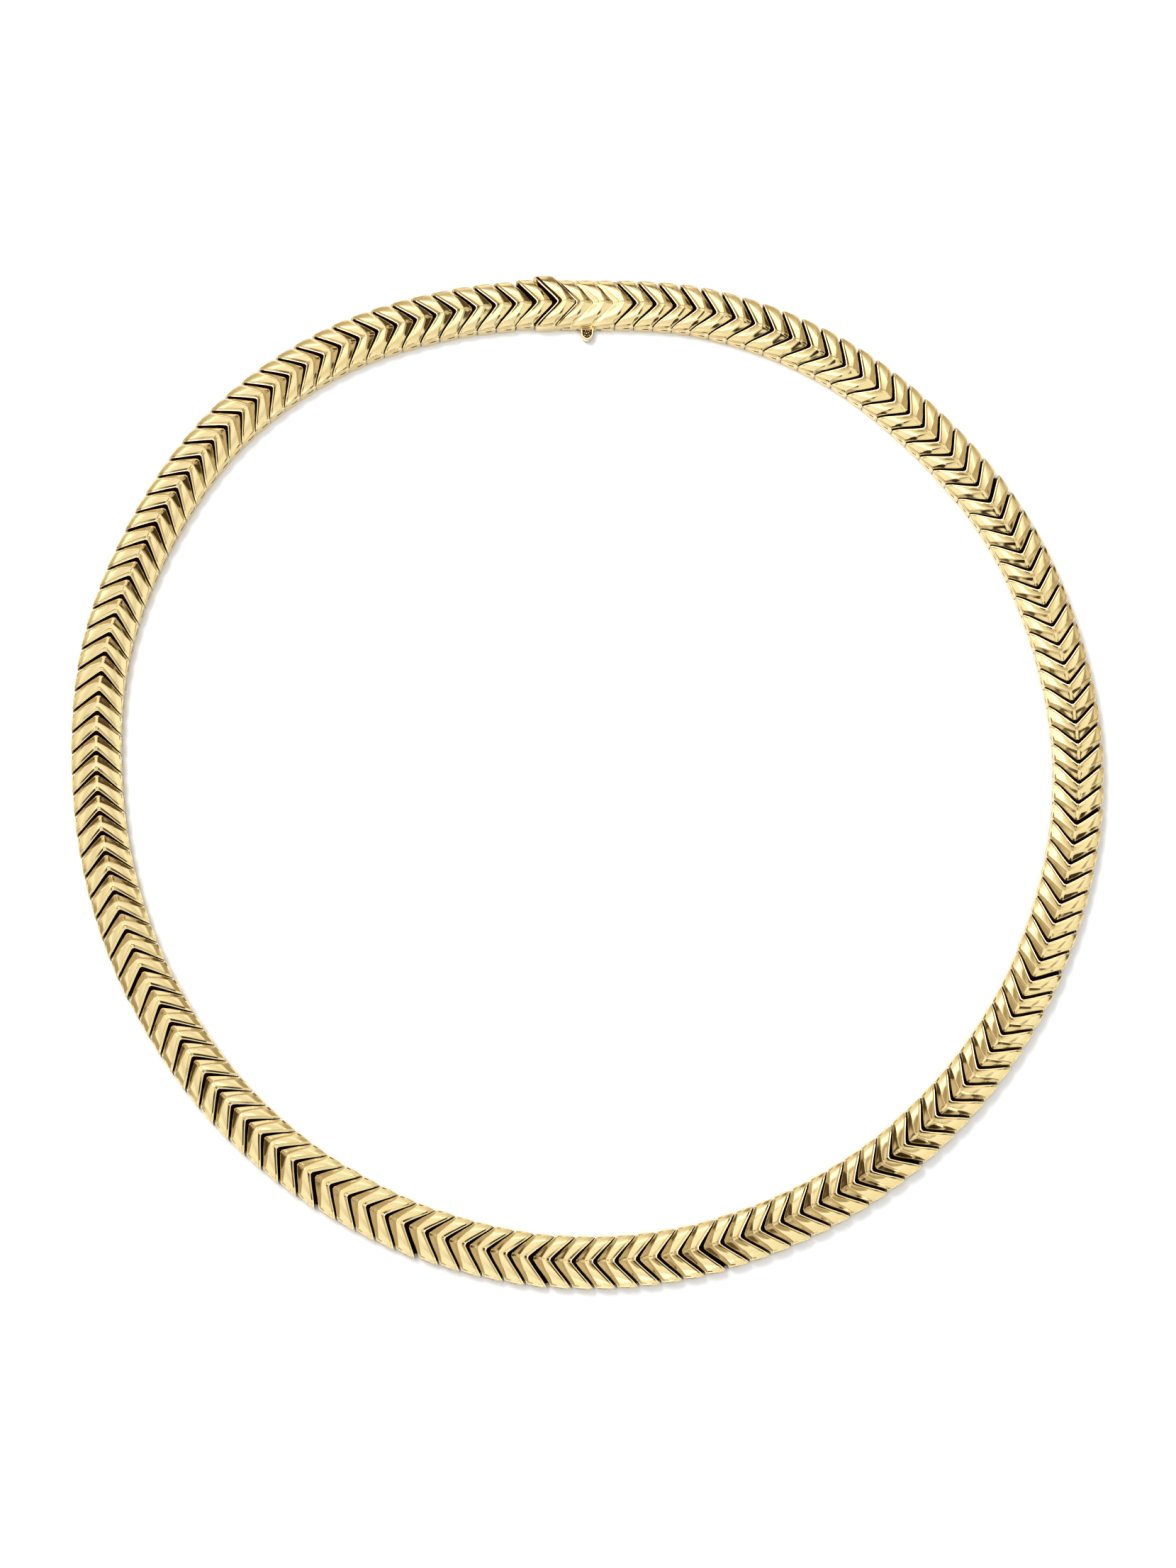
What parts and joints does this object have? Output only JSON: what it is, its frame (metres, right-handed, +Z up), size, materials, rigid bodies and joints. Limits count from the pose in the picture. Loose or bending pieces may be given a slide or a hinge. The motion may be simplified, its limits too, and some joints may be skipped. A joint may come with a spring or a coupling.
{
  "type": "zipper choker",
  "caption": "Collar of nested chevron links with a crest along each arm, closed by a box clasp with a thumb tab at the inner edge, lying face up as a ring.",
  "frame": {"origin": "on the surface that the collar lies on, under the middle of the loop's bounding box", "axes": "+Z up from the surface, out of the links' faces; +Y from the middle towards the clasp; +X to the right seen from above"},
  "size_m": [0.1346, 0.1358, 0.0032],
  "materials": {
    "polished_gold": "polished 14 karat yellow gold"
  },
  "bodies": {
    "collar": {"chain_right": "polished_gold", "chain_left": "polished_gold", "clasp_box": "polished_gold", "clasp_tongue": "polished_gold"},
    "lever": {"thumb_lever": "polished_gold"}
  },
  "joints": [
    {"name": "thumb_press", "type": "hinge", "parent": "collar", "child": "lever", "pos_m": [0.00293, 0.06224, 0.0009], "axis": [0, 0, 1], "range_deg": [-6, 0], "stiffness_Nm_per_rad": 0.01}
  ]
}
